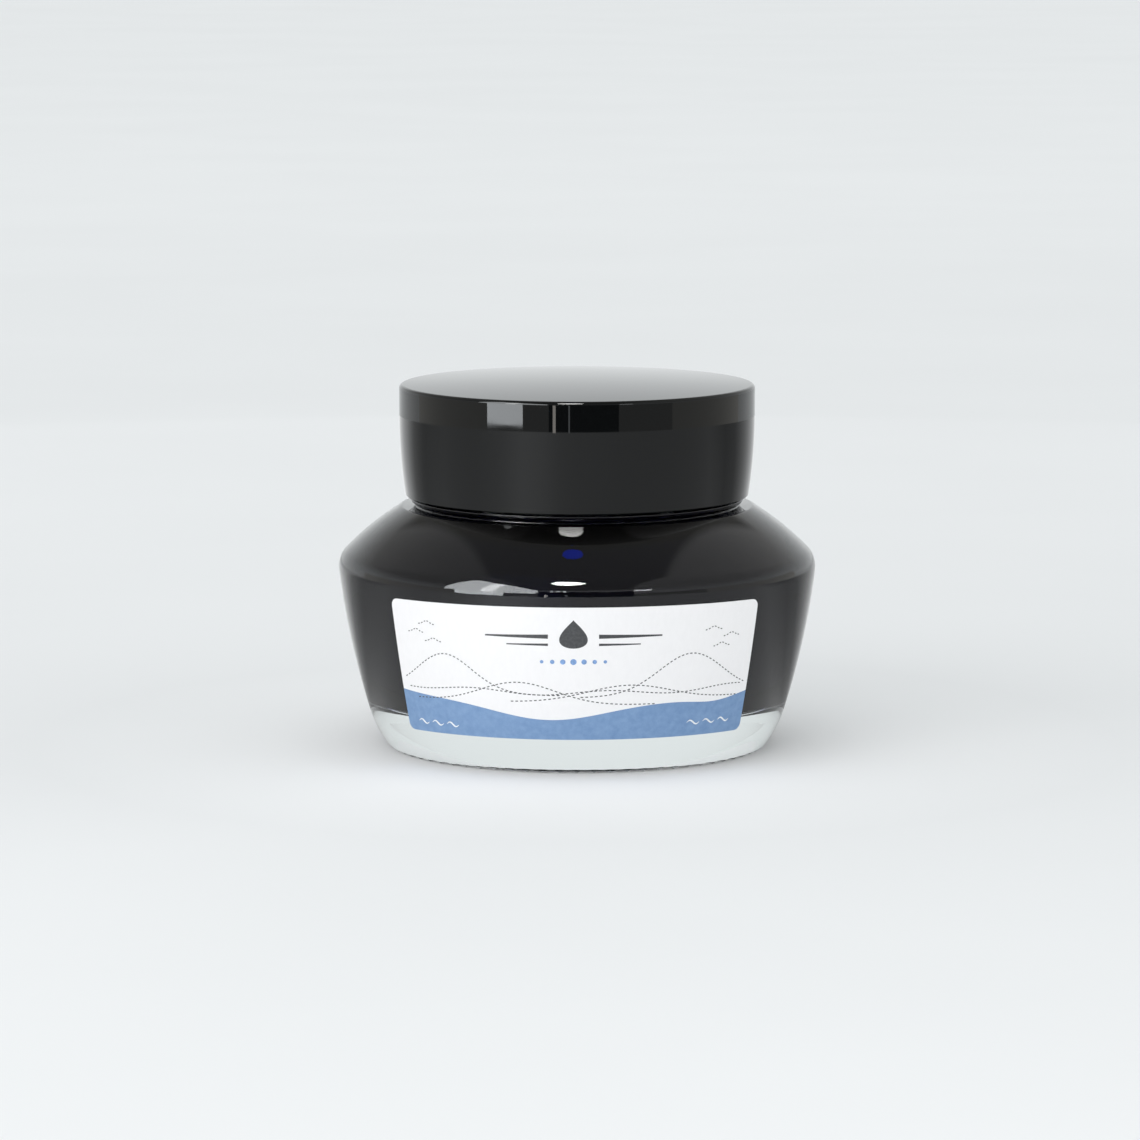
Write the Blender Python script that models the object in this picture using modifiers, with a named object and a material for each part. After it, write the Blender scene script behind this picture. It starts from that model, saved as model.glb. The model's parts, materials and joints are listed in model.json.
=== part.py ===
"""Ink bottle with a screw cap, as separate pieces: a thick moulded glass bottle, the ink that fills it, a
dipping reservoir that hangs in its neck with a little ink of its own, a two-piece cap with its sealing
liner, and a paper label on the flank.

Metres, +Z up. The origin is the centre of the ring that the bottle stands on. The label faces -Y."""

import math
from dataclasses import dataclass

import bmesh
import bpy

MM = 0.001
SEGMENTS = 48  # sides of every turned piece
ARC_STEPS = 4  # straight steps along each arc of the bottle's wall
TOUCH = 0.3 * MM  # left between pieces that rest on each other
MERGE = 1e-6

# Bottle, outside. Angles are those of the wall's normal from level, and negative below it
BELLY_R = 35.0 * MM
BELLY_Z = 26.2 * MM
BELLY_ARC = 3.6 * MM
SHOULDER_FROM = 44.6
SHOULDER_ARC = 42.3 * MM
FLANK_FROM = -7.0
FLANK_ARC = 113.0 * MM
HEEL_FROM = -17.9
HEEL_ARC = 15.6 * MM
FOOT_ARC = 0.8 * MM
BEARING_R = 25.4 * MM  # inner edge of the ring that the bottle stands on
PUSH_UP = 1.2 * MM  # height of the hollow inside that ring
LEDGE_R = 24.4 * MM  # low ring of glass between shoulder and neck
LEDGE_FOOT_Z = 35.2 * MM
LEDGE_Z = 36.35 * MM
LEDGE_EDGE = 0.45 * MM

# Bottle, cavity
WALL = 5.8 * MM
CAVITY_BELLY_Z = 22.2 * MM
CAVITY_BELLY_ARC = 7.0 * MM
CAVITY_SHOULDER_ARC = 28.0 * MM
CAVITY_FOOT_ARC = 6.0 * MM
FLOOR_Z = 7.2 * MM
FLOOR_CROWN = 0.6 * MM
BORE_R = 17.6 * MM
BORE_FILLET = 1.5 * MM

# Bottle, neck
NECK_R = 20.8 * MM
RIM_Z = 47.4 * MM
RIM_EDGE = 0.8 * MM
THREAD_R = 22.0 * MM  # crest of the neck's thread
PITCH = 25.4 / 6 * MM  # six threads to the inch
TURNS = 1.25
THREAD_TOP_Z = 45.2 * MM  # mid-height of the neck's thread at its upper end
RUN_OUT = 30.0  # degrees over which a thread sinks into its wall at each end
END_SIZE = 0.15  # of a thread's full section, at its very ends
SUNK = 0.4 * MM  # how deep a thread or rib starts inside its wall
NECK_RIDGE = (1.2 * MM, 0.5 * MM)  # half the thread's height at the wall and at its crest

# Ink
INK_Z = 36.4 * MM
WELL_INK_Z = 26.0 * MM

# Reservoir
FLANGE_R = 20.4 * MM
FLANGE_T = 1.0 * MM
PLUG_R = 17.3 * MM
PLUG_Z = 43.0 * MM
CUP_TOP_R = 9.6 * MM
CUP_TOP_Z = 36.0 * MM
CUP_R = 8.8 * MM
CUP_Z = 10.6 * MM
CUP_CORNER = 3.0 * MM
RESERVOIR_WALL = 1.0 * MM
FUNNEL_RISE = 0.4 * RESERVOIR_WALL  # how far the funnel's inner corners lie above its outer ones
WINDOWS = 4
WINDOW_IN_R = 11.1 * MM
WINDOW_OUT_R = 15.7 * MM
WINDOW_WIDTH = 7.0 * MM

# Liner and cap
LINER_R = 21.6 * MM
LINER_T = 1.2 * MM
SKIRT_IN_R = 22.3 * MM
SKIRT_R = 23.4 * MM
SKIRT_Z = 37.5 * MM
SKIRT_EDGE = 0.35 * MM
CAP_THREAD_R = 21.1 * MM  # crest of the cap's thread
CAP_RIDGE = (0.9 * MM, 0.4 * MM)
THREAD_DROP = 1.7 * MM  # how far the cap's thread lies below the neck's
PLATE_T = 1.0 * MM
BEAD_R = 21.3 * MM  # small bead that keeps the liner in
BEAD_GAP = 0.5 * MM
RIBS = 16
RIB_R = 23.75 * MM
RIB_WIDTH = 1.2 * MM
SHELL_IN_R = 24.05 * MM
SHELL_LOW_R = 25.15 * MM
SHELL_R = 26.0 * MM
SHELL_Z = 36.65 * MM
SHELL_TOP_Z = 52.9 * MM
SHELL_STRAIGHT_Z = 48.5 * MM  # the side is upright above this and leans in below it
SHELL_LOW_EDGE = 0.3 * MM
SHELL_TOP_EDGE = 0.5 * MM
CROWN = 0.7 * MM

# Heights of the pieces stacked on the rim
FLANGE_Z = RIM_Z + TOUCH
FLANGE_TOP_Z = FLANGE_Z + FLANGE_T
LINER_Z = FLANGE_TOP_Z + TOUCH
PLATE_Z = LINER_Z + LINER_T + TOUCH
SHELL_ROOF_Z = PLATE_Z + PLATE_T + TOUCH

# Label
LABEL_LOW_Z = 5.5 * MM
LABEL_TOP_Z = 24.9 * MM
LABEL_ANGLE = 99.0  # degrees round the bottle
LABEL_STEPS = 12
LABEL_T = 0.2 * MM
FLANK_INDEX = 2  # the flank's place among the wall's arcs, after shoulder and belly


@dataclass(frozen=True)
class Side:
    """One side of the bottle's wall in section: shoulder, belly, flank and foot. Each is an arc that runs
    smoothly into the next, so an arc is its radius and the direction of the normal at its upper end."""

    belly_r: float
    belly_z: float
    belly_arc: float
    shoulder_arc: float
    lower_arcs: tuple
    foot_arc: float
    low_z: float

    def arcs(self, shoulder_end):
        """(centre, radius, upper direction) of every arc, from the shoulder down to the foot."""
        belly = (self.belly_r - self.belly_arc, self.belly_z)
        shoulder = shifted(belly, self.belly_arc - self.shoulder_arc, SHOULDER_FROM)
        found = [(shoulder, self.shoulder_arc, shoulder_end), (belly, self.belly_arc, SHOULDER_FROM)]
        for upper, radius in self.lower_arcs:
            centre, last_radius, _ = found[-1]
            found.append((shifted(centre, last_radius - radius, upper), radius, upper))
        centre, radius, _ = found[-1]
        drop = centre[1] - self.low_z - self.foot_arc
        upper = -math.degrees(math.asin(drop / (radius - self.foot_arc)))
        found.append((shifted(centre, radius - self.foot_arc, upper), self.foot_arc, upper))
        return found

    def points(self, shoulder_end, inset=0.0):
        """(radius, height) points from the foot up to the shoulder's end. inset moves the wall in."""
        found = self.arcs(shoulder_end)
        ends = [upper for _, _, upper in found[1:]] + [-90.0]
        runs = []
        for (centre, radius, upper), end in zip(found, ends):
            runs.append(arc(centre, radius - inset, upper, end, ARC_STEPS))
        return joined(*runs)[::-1]

    def shoulder_end(self, height):
        """The direction of the shoulder's normal where it reaches a height."""
        centre, radius, _ = self.arcs(90.0)[0]
        return math.degrees(math.asin((height - centre[1]) / radius))


def shifted(point, distance, degrees):
    turn = math.radians(degrees)
    return (point[0] + distance * math.cos(turn), point[1] + distance * math.sin(turn))


def arc(centre, radius, start, end, steps):
    """Points along an arc, both ends included. Angles are in degrees, anticlockwise from outward."""
    return [shifted(centre, radius, start + (end - start) * i / steps) for i in range(steps + 1)]


def joined(*runs):
    """Runs of points as one line, without the doubled points where they meet."""
    line = []
    for run in runs:
        for point in run:
            if not line or math.dist(line[-1], point) > MERGE:
                line.append(point)
    return line


OUTSIDE = Side(
    BELLY_R,
    BELLY_Z,
    BELLY_ARC,
    SHOULDER_ARC,
    ((FLANK_FROM, FLANK_ARC), (HEEL_FROM, HEEL_ARC)),
    FOOT_ARC,
    0.0,
)
CAVITY = Side(
    BELLY_R - WALL,
    CAVITY_BELLY_Z,
    CAVITY_BELLY_ARC,
    CAVITY_SHOULDER_ARC,
    ((FLANK_FROM, FLANK_ARC - WALL),),
    CAVITY_FOOT_ARC,
    FLOOR_Z,
)


def cavity_points(inset=0.0):
    """The bottle's inner wall from the middle of its floor up to where the neck's bore begins."""
    centre, radius, _ = CAVITY.arcs(90.0)[0]
    reach = radius + BORE_FILLET
    end = math.degrees(math.acos((BORE_R + BORE_FILLET - centre[0]) / reach))
    return joined(
        [(0.0, FLOOR_Z + FLOOR_CROWN + inset)],
        CAVITY.points(end, inset),
        arc(shifted(centre, reach, end), BORE_FILLET + inset, 180 + end, 180, 2),
    )


def bottle_profile():
    """The glass in section: up the inside, over the rim, down the outside and in under the base."""
    body = OUTSIDE.points(OUTSIDE.shoulder_end(LEDGE_FOOT_Z))
    foot_r = body[0][0]
    return joined(
        cavity_points(),
        arc((BORE_R + RIM_EDGE, RIM_Z - RIM_EDGE), RIM_EDGE, 180, 90, 2),
        arc((NECK_R - RIM_EDGE, RIM_Z - RIM_EDGE), RIM_EDGE, 90, 0, 2),
        [(NECK_R, LEDGE_Z)],
        arc((LEDGE_R - LEDGE_EDGE, LEDGE_Z - LEDGE_EDGE), LEDGE_EDGE, 90, 0, 1),
        [(LEDGE_R, LEDGE_FOOT_Z)],
        reversed(body),
        [(foot_r, 0.0), (BEARING_R, 0.0), (BEARING_R - PUSH_UP, 0.6 * PUSH_UP), (0.0, PUSH_UP)],
    )


def cup_points(grow=0.0):
    """The reservoir's outer wall from the middle of its cup's bottom up to its plug. grow moves it out."""
    corner = (CUP_R - CUP_CORNER, CUP_Z + CUP_CORNER)
    return joined(
        [(0.0, CUP_Z - grow)],
        arc(corner, CUP_CORNER + grow, -90, 0, 3),
        [(CUP_TOP_R + grow, CUP_TOP_Z), (PLUG_R + grow, PLUG_Z - grow)],
    )


def well_points(top_z, inset=0.0):
    """The inside of the reservoir's cup from the middle of its bottom up its wall to top_z."""
    wall = RESERVOIR_WALL + inset
    corner = (CUP_R - CUP_CORNER, CUP_Z + CUP_CORNER)
    lean = (CUP_TOP_R - CUP_R) / (CUP_TOP_Z - corner[1])
    return joined(
        [(0.0, CUP_Z + wall)],
        arc(corner, CUP_CORNER - wall, -90, 0, 3),
        [(CUP_R - wall + lean * (top_z - corner[1]), top_z)],
    )


def reservoir_profile():
    """The reservoir in section: cup, funnel, plug and the flange that rests on the bottle's rim."""
    in_r, in_z = PLUG_R - RESERVOIR_WALL, PLUG_Z + FUNNEL_RISE
    return joined(
        well_points(CUP_TOP_Z + FUNNEL_RISE),
        [(in_r, in_z), (in_r, FLANGE_TOP_Z), (FLANGE_R, FLANGE_TOP_Z), (FLANGE_R, FLANGE_Z)],
        [(PLUG_R, FLANGE_Z)],
        reversed(cup_points()),
    )


def liner_profile():
    top = LINER_Z + LINER_T
    return [(0.0, top), (LINER_R, top), (LINER_R, LINER_Z), (0.0, LINER_Z)]


def cap_inner_profile():
    """The threaded closure in section: top plate, skirt and the bead under the liner."""
    top = PLATE_Z + PLATE_T
    bead_z = LINER_Z - BEAD_GAP
    return [
        (0.0, top),
        (SKIRT_R - SKIRT_EDGE, top),
        (SKIRT_R, top - SKIRT_EDGE),
        (SKIRT_R, SKIRT_Z),
        (SKIRT_IN_R + SKIRT_EDGE, SKIRT_Z),
        (SKIRT_IN_R, SKIRT_Z + SKIRT_EDGE),
        (SKIRT_IN_R, bead_z - SKIRT_EDGE),
        (BEAD_R, bead_z),
        (SKIRT_IN_R, bead_z + SKIRT_EDGE),
        (SKIRT_IN_R, PLATE_Z),
        (0.0, PLATE_Z),
    ]


def cap_shell_profile():
    """The outer cap in section: crowned top, side that leans in towards its rounded lower edge."""
    crown_radius = (SHELL_R**2 + CROWN**2) / (2 * CROWN)
    crown_end = math.degrees(math.asin((SHELL_R - SHELL_TOP_EDGE) / crown_radius))
    crown_centre = (0.0, SHELL_TOP_Z + CROWN - crown_radius)
    top_edge = (SHELL_R - SHELL_TOP_EDGE, SHELL_TOP_Z - SHELL_TOP_EDGE)
    low_edge = (SHELL_LOW_R - SHELL_LOW_EDGE, SHELL_Z + SHELL_LOW_EDGE)
    lean_height = SHELL_STRAIGHT_Z - low_edge[1]
    lean_radius = lean_height**2 / (2 * (SHELL_R - SHELL_LOW_R))
    lean_end = math.degrees(lean_height / lean_radius)
    return joined(
        arc(crown_centre, crown_radius, 90, 90 - crown_end, 5),
        arc(top_edge, SHELL_TOP_EDGE, 75, 0, 2),
        arc((SHELL_R - lean_radius, SHELL_STRAIGHT_Z), lean_radius, 0, -lean_end, 3),
        arc(low_edge, SHELL_LOW_EDGE, 0, -90, 3),
        [(SHELL_IN_R, SHELL_Z), (SHELL_IN_R, SHELL_ROOF_Z), (0.0, SHELL_ROOF_Z)],
    )


def material(name, colour, roughness, metallic=0.0, transmission=0.0):
    made = bpy.data.materials.new(name)
    made.use_nodes = True
    shader = made.node_tree.nodes["Principled BSDF"]
    shader.inputs["Base Color"].default_value = (*colour, 1.0)
    shader.inputs["Roughness"].default_value = roughness
    shader.inputs["Metallic"].default_value = metallic
    shader.inputs["Transmission Weight"].default_value = transmission
    made.diffuse_color = (*colour, 1.0)
    return made


def placed(obj, collection, finish=None):
    collection.objects.link(obj)
    if finish:
        obj.data.materials.append(finish)
    return obj


def turned(name, profile, collection, finish=None, angle=360.0, steps=SEGMENTS):
    """A profile of (radius, height) points swept round Z with a Screw modifier."""
    mesh = bpy.data.meshes.new(name)
    edges = [(i, i + 1) for i in range(len(profile) - 1)]
    mesh.from_pydata([(r, 0.0, z) for r, z in profile], edges, [])
    obj = placed(bpy.data.objects.new(name, mesh), collection, finish)
    screw = obj.modifiers.new("Turn", "SCREW")
    screw.angle = math.radians(angle)
    screw.steps = screw.render_steps = steps
    screw.use_merge_vertices = angle == 360.0
    screw.merge_threshold = MERGE
    screw.use_smooth_shade = True
    return obj


def boolean(obj, other, operation):
    change = obj.modifiers.new(other.name, "BOOLEAN")
    change.operation = operation
    change.object = other
    change.solver = "EXACT"


def as_helper(obj):
    """Cutters and pieces to be joined are guides, not parts."""
    obj.hide_render = True
    obj.display_type = "WIRE"
    return obj


def box(name, centre, size, turn, collection):
    """A box primitive: centre is in the frame of its own turn about Z, in degrees."""
    bpy.ops.mesh.primitive_cube_add(size=1.0)
    obj = bpy.context.object
    obj.name = name
    turn = math.radians(turn)
    x, y, z = centre
    obj.location = (x * math.cos(turn) - y * math.sin(turn), x * math.sin(turn) + y * math.cos(turn), z)
    obj.rotation_euler.z = turn
    obj.scale = size
    for owner in obj.users_collection:
        owner.objects.unlink(obj)
    collection.objects.link(obj)
    return as_helper(obj)


def thread_ridge(name, root_r, crest_r, halves, top_z, collection):
    """A right-hand thread ridge on a wall of radius root_r: a helix with a bevelled section, whose ends
    shrink into the wall. halves are half its height at the wall and at its crest."""
    half_root, half_crest = halves
    spine_r = root_r - math.copysign(SUNK, crest_r - root_r)
    section = bpy.data.curves.new(name + "_section", "CURVE")
    section.dimensions = "2D"
    outline = section.splines.new("POLY")
    flare = (half_root - half_crest) / abs(crest_r - root_r)
    foot = half_root + flare * abs(root_r - spine_r)
    corners = [(0.0, -foot), (crest_r - spine_r, -half_crest), (crest_r - spine_r, half_crest), (0.0, foot)]
    outline.points.add(len(corners) - 1)
    for point, (out, up) in zip(outline.points, corners):
        point.co = (out, up, 0.0, 1.0)
    outline.use_cyclic_u = True
    section_obj = as_helper(placed(bpy.data.objects.new(section.name, section), collection))

    helix = bpy.data.curves.new(name, "CURVE")
    helix.dimensions = "3D"
    helix.twist_mode = "Z_UP"
    helix.bevel_mode = "OBJECT"
    helix.bevel_object = section_obj
    helix.use_fill_caps = True
    step = 360.0 / SEGMENTS
    count = round(TURNS * SEGMENTS) + 1
    spline = helix.splines.new("POLY")
    spline.points.add(count - 1)
    for i, point in enumerate(spline.points):
        turn = i * step
        from_end = min(turn, (count - 1) * step - turn)
        up = top_z - PITCH * (TURNS - turn / 360.0)
        angle = math.radians(turn)
        point.co = (spine_r * math.cos(angle), spine_r * math.sin(angle), up, 1.0)
        point.radius = max(END_SIZE, min(1.0, from_end / RUN_OUT))
    curve_obj = placed(bpy.data.objects.new(name + "_curve", helix), collection)
    return as_helper(solid_from(curve_obj, name, collection))


def solid_from(curve_obj, name, collection):
    """The curve's tube as one closed mesh, and the curve removed."""
    bpy.context.view_layer.update()
    graph = bpy.context.evaluated_depsgraph_get()
    mesh = bpy.data.meshes.new_from_object(curve_obj.evaluated_get(graph), depsgraph=graph)
    made = placed(bpy.data.objects.new(name, mesh), collection)
    made.matrix_world = curve_obj.matrix_world
    bpy.data.objects.remove(curve_obj)
    weld_and_face_out(mesh)
    return made


def weld_and_face_out(mesh):
    work = bmesh.new()
    work.from_mesh(mesh)
    bmesh.ops.remove_doubles(work, verts=work.verts, dist=MERGE)
    bmesh.ops.recalc_face_normals(work, faces=work.faces)
    work.to_mesh(mesh)
    work.free()


def build_bottle(parts, tools, glass):
    bottle = turned("glass_bottle", bottle_profile(), parts, glass)
    ridge = thread_ridge("neck_thread", NECK_R, THREAD_R, NECK_RIDGE, THREAD_TOP_Z, tools)
    boolean(bottle, ridge, "UNION")


def build_ink(parts, tools, ink):
    """The ink up into the neck, with room left round the reservoir, and the ink in the reservoir's cup."""
    wall = cavity_points(TOUCH)
    fill = turned("ink_fill", joined([(0.0, INK_Z), (wall[-1][0], INK_Z)], reversed(wall)), parts, ink)
    room = cup_points(TOUCH)
    above = [(0.0, PLUG_Z), (room[-1][0], PLUG_Z)]
    cutter = as_helper(turned("reservoir_room", joined(above, reversed(room)), tools))
    boolean(fill, cutter, "DIFFERENCE")
    well = well_points(WELL_INK_Z, TOUCH)
    turned("reservoir_ink", joined([(0.0, WELL_INK_Z)], reversed(well)), parts, ink)


def build_reservoir(parts, tools, plastic):
    reservoir = turned("ink_reservoir", reservoir_profile(), parts, plastic)
    middle = (WINDOW_IN_R + WINDOW_OUT_R) / 2
    size = (WINDOW_OUT_R - WINDOW_IN_R, WINDOW_WIDTH, PLUG_Z - CUP_TOP_Z + 4 * MM)
    for i in range(WINDOWS):
        turn = 360.0 / WINDOWS * (i + 0.5)
        centre = (middle, 0.0, (PLUG_Z + CUP_TOP_Z) / 2)
        boolean(reservoir, box(f"window_{i + 1}", centre, size, turn, tools), "DIFFERENCE")


def build_cap(parts, tools, foam, black, satin_black):
    turned("seal_liner", liner_profile(), parts, foam)
    turned("cap_shell", cap_shell_profile(), parts, black)
    inner = turned("cap_inner", cap_inner_profile(), parts, satin_black)
    ridge_top = THREAD_TOP_Z - THREAD_DROP
    ridge = thread_ridge("cap_thread", SKIRT_IN_R, CAP_THREAD_R, CAP_RIDGE, ridge_top, tools)
    boolean(inner, ridge, "UNION")
    low, high = SKIRT_Z + 1 * MM, PLATE_Z
    depth = RIB_R - SKIRT_R + SUNK
    for i in range(RIBS):
        turn = 360.0 / RIBS * i
        centre = (RIB_R - depth / 2, 0.0, (low + high) / 2)
        rib = box(f"rib_{i + 1}", centre, (depth, RIB_WIDTH, high - low), turn, tools)
        boolean(inner, rib, "UNION")


def build_label(parts, paper):
    """A thin band over the front of the flank, following its curve."""
    centre, radius, _ = OUTSIDE.arcs(90.0)[FLANK_INDEX]
    low = -math.degrees(math.asin((centre[1] - LABEL_LOW_Z) / radius))
    top = -math.degrees(math.asin((centre[1] - LABEL_TOP_Z) / radius))
    band = arc(centre, radius + TOUCH, top, low, 6)
    label = turned("front_label", band, parts, paper, LABEL_ANGLE, LABEL_STEPS)
    label.rotation_euler.z = math.radians(-90.0 - LABEL_ANGLE / 2)
    sheet = label.modifiers.new("Paper", "SOLIDIFY")
    sheet.thickness = LABEL_T
    sheet.offset = 1.0


def main():
    for obj in list(bpy.data.objects):
        bpy.data.objects.remove(obj)
    parts = bpy.data.collections.new("ink_bottle")
    tools = bpy.data.collections.new("ink_bottle_tools")
    for collection in (parts, tools):
        bpy.context.scene.collection.children.link(collection)
    glass = material("clear_glass", (0.95, 0.97, 0.97), 0.02, transmission=1.0)
    ink = material("blue_black_ink", (0.006, 0.008, 0.035), 0.05)
    natural = material("natural_plastic", (0.80, 0.81, 0.79), 0.35)
    foam = material("white_foam", (0.86, 0.86, 0.84), 0.6)
    black = material("gloss_black_plastic", (0.012, 0.012, 0.013), 0.1)
    satin_black = material("satin_black_plastic", (0.018, 0.018, 0.019), 0.35)
    paper = material("white_label_paper", (0.88, 0.88, 0.87), 0.55)
    build_bottle(parts, tools, glass)
    build_ink(parts, tools, ink)
    build_reservoir(parts, tools, natural)
    build_cap(parts, tools, foam, black, satin_black)
    build_label(parts, paper)


main()
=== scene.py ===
import json
import math

import bmesh
import bpy
import numpy as np
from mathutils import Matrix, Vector

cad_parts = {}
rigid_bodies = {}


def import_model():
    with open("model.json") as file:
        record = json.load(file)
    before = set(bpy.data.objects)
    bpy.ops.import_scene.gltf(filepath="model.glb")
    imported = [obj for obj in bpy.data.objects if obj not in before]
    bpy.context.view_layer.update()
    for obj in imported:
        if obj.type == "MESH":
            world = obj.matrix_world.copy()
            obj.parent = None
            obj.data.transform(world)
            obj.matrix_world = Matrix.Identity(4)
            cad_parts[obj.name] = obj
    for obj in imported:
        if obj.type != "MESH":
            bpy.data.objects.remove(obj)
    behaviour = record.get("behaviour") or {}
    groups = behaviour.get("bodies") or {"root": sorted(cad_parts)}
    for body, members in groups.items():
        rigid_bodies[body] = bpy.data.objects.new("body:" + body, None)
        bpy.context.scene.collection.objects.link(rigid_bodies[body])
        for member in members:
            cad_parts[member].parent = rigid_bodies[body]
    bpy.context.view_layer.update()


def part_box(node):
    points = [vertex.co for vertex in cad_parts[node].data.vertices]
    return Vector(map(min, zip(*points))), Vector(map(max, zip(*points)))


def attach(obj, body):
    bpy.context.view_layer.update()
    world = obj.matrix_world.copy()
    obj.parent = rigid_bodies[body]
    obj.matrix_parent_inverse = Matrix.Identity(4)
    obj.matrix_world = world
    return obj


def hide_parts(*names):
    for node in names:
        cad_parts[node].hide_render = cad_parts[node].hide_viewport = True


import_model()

# The ink bottle's looks: fine turned glass, ink, cap, reservoir, liner and a printed label, on the pale floor
# of a studio. Metres, +Z up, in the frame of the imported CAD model. Sections are (radius, height) points.

MM = 0.001

# From the CAD nodes
GLASS_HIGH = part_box("glass_bottle")[1]
SHELL_LOW, SHELL_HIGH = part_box("cap_shell")
INNER_LOW, INNER_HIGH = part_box("cap_inner")
LINER_LOW, LINER_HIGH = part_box("seal_liner")
RESERVOIR_LOW, RESERVOIR_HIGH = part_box("ink_reservoir")
INK_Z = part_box("ink_fill")[1].z
WELL_INK_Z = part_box("reservoir_ink")[1].z
LABEL_LOW, LABEL_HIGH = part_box("front_label")

# Bottle, outside: arcs that run into each other, by radius and direction of the normal at their upper end
RIM_Z = GLASS_HIGH.z
BELLY_R, BELLY_Z, BELLY_ARC = 35.0 * MM, 26.2 * MM, 3.6 * MM
SHOULDER_FROM, SHOULDER_ARC = 44.6, 42.3 * MM
FLANK_FROM, FLANK_ARC = -7.0, 113.0 * MM
HEEL_FROM, HEEL_ARC = -17.9, 15.6 * MM
FOOT_ARC = 0.8 * MM
BEARING_R, BEARING_LIP, PUSH_UP, DISH_CROWN = 25.4 * MM, 0.15 * MM, 1.2 * MM, 0.08 * MM
ROLL_OVER = 0.9 * MM
LEDGE_R, LEDGE_FOOT_Z, LEDGE_Z = 24.4 * MM, 35.2 * MM, 36.35 * MM
LEDGE_EDGE, LEDGE_ROUND, LEDGE_FOOT_FILLET = 0.08 * MM, 1.15 * MM, 0.1 * MM
LEDGE_LEAN = 10.0  # degrees that the ring's side faces down where its underside starts to curve in
NECK_FOOT_FILLET = 0.5 * MM
NOTCHES, NOTCH_DEPTH, NOTCH_REACH = 72, 0.5 * MM, 0.3 * MM

# Bottle, inside and neck
WALL = 5.8 * MM
CAVITY_BELLY_Z, CAVITY_BELLY_ARC = 22.2 * MM, 7.0 * MM
CAVITY_SHOULDER_ARC, CAVITY_FOOT_ARC = 28.0 * MM, 6.0 * MM
FLOOR_Z, FLOOR_CROWN = 7.2 * MM, 0.6 * MM
BORE_R, BORE_FILLET = 17.6 * MM, 1.5 * MM
NECK_R, RIM_EDGE = 20.8 * MM, 0.8 * MM
PITCH, TURNS = 25.4 / 6 * MM, 1.25
THREAD_TOP_Z, THREAD_DROP, THREAD_DEPTH = 45.2 * MM, 1.7 * MM, 1.2 * MM
THREAD_ROW = 0.13 * MM  # height of a row of faces on a threaded wall
RUN_OUT = 30.0  # degrees over which the thread's ends fade

# Ink
INK_OVERLAP = 0.04 * MM  # it reaches this far into the glass, so that no film of air shows between them
CUP_GAP = 0.1 * MM
MENISCUS = ((0.0, 0.36 * MM), (0.15 * MM, 0.2025 * MM), (0.5 * MM, 0.054 * MM))  # (from the wall, climb)
MENISCUS_R = 1.1 * MM

# Cap
SHELL_R = SHELL_HIGH.x
SHELL_LOW_R, SHELL_IN_R = 25.15 * MM, 24.05 * MM
SHELL_STRAIGHT_Z, SHELL_LOW_EDGE, SHELL_TOP_EDGE = 48.5 * MM, 0.3 * MM, 0.5 * MM
CROWN = 0.7 * MM
SHELL_TOP_Z = SHELL_HIGH.z - CROWN
SKIRT_IN_R, SKIRT_R, BEAD_R = 22.3 * MM, 23.4 * MM, 21.3 * MM
RIB_R, RIBS, RIB_HALF, RIB_SIDE = INNER_HIGH.x, 16, 0.85 * MM, 0.4 * MM

# Reservoir
CUP_R, CUP_TOP_R, CUP_TOP_Z, CUP_CORNER = 8.8 * MM, 9.6 * MM, 36.0 * MM, 3.0 * MM
PLUG_R, PLUG_Z, RESERVOIR_WALL = 17.3 * MM, 43.0 * MM, 1.0 * MM
FUNNEL_RISE = 0.4 * MM  # the funnel's inside stands this much above its outside
WINDOWS, WINDOW_SIZE, WINDOW_EDGE = 4, (4.6 * MM, 7.0 * MM, 11 * MM), 1.2 * MM
WINDOW_PLACE = (13.4 * MM, 0.0, 39.5 * MM)

FINE = 432  # sides of the glass and the cap: six to each notch of the base ring
PLAIN = 192  # sides of the pieces inside
SMOOTH_BELOW = 38.0  # degrees; an edge that bends more is shaded sharp


def shifted(point, distance, degrees):
    """The point at a distance and direction from another. Direction 0 is outwards and 90 is up."""
    turn = math.radians(degrees)
    return (point[0] + distance * math.cos(turn), point[1] + distance * math.sin(turn))


def arc(centre, radius, start, end, steps):
    """Points along an arc, from one direction to another in degrees."""
    return [shifted(centre, radius, start + (end - start) * i / steps) for i in range(steps + 1)]


def line(start, end, steps):
    """Points along a straight line, both ends included."""
    return [tuple(a + (b - a) * i / steps for a, b in zip(start, end)) for i in range(steps + 1)]


def joined(*runs):
    """Runs of points as one line, without the doubled points where they meet."""
    made = []
    for run in runs:
        for point in run:
            if not made or math.dist(made[-1], point) > 1e-7:
                made.append(tuple(point))
    return made


def wall_arcs(belly_r, belly_z, belly_arc, shoulder_arc, lower_arcs, foot_arc, low_z):
    """(centre, radius, upper direction) of a wall's arcs: shoulder, belly, lower arcs, foot."""
    belly = (belly_r - belly_arc, belly_z)
    shoulder = shifted(belly, belly_arc - shoulder_arc, SHOULDER_FROM)
    found = [(shoulder, shoulder_arc, None), (belly, belly_arc, SHOULDER_FROM)]
    for upper, radius in lower_arcs:
        centre, last_radius, _ = found[-1]
        found.append((shifted(centre, last_radius - radius, upper), radius, upper))
    centre, radius, _ = found[-1]
    upper = -math.degrees(math.asin((centre[1] - low_z - foot_arc) / (radius - foot_arc)))
    found.append((shifted(centre, radius - foot_arc, upper), foot_arc, upper))
    return found


def wall_points(arcs, shoulder_end, inset=0.0, step=2.5):
    """The wall from its foot up to the shoulder's end, with a point every few degrees."""
    ends = [upper for _, _, upper in arcs[1:]] + [-90.0]
    runs = []
    for (centre, radius, upper), end in zip(arcs, ends):
        upper = shoulder_end if upper is None else upper
        length = math.radians(upper - end) * radius
        steps = max(4, math.ceil((upper - end) / step), math.ceil(length / (1.2 * MM)))
        runs.append(arc(centre, radius - inset, upper, end, steps))
    return joined(*runs)[::-1]


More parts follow.
